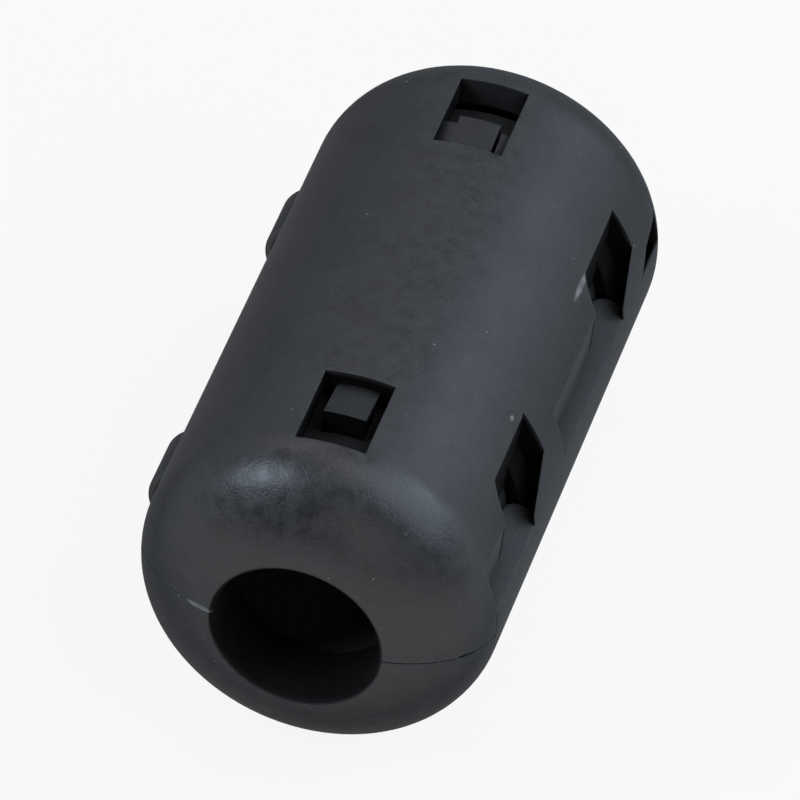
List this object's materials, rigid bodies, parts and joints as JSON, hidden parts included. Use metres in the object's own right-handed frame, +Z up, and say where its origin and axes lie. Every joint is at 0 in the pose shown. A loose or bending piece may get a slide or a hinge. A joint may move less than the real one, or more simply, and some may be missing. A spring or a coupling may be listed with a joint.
{
  "type": "clip-on ferrite bead",
  "caption": "Black hinged plastic clip with rounded ends that closes half-round ferrite cores around a cable, with latch pockets on one side and spring tongues in wall windows.",
  "frame": {"origin": "centre of the cable bore at mid-length, on the seam between the two halves", "axes": "+Y along the cable bore, +Z up out of the half with the latch pockets, +X towards the latch, hinge on -X"},
  "size_m": [0.0202, 0.0392, 0.0194],
  "materials": {
    "housing": "satin moulded black plastic",
    "ferrite": "sintered brown-black ferrite ceramic"
  },
  "bodies": {
    "lower_half": {"lower_shell": "housing", "lower_core": "ferrite", "hinge_strap_front": "housing", "hinge_strap_rear": "housing"},
    "upper_half": {"upper_shell": "housing", "upper_core": "ferrite"}
  },
  "joints": [
    {"name": "lid_hinge", "type": "hinge", "parent": "lower_half", "child": "upper_half", "pos_m": [-0.0102, 0, 0], "axis": [0, -1, 0], "range_deg": [0, 180], "deforming": ["hinge_strap_front", "hinge_strap_rear"]}
  ]
}
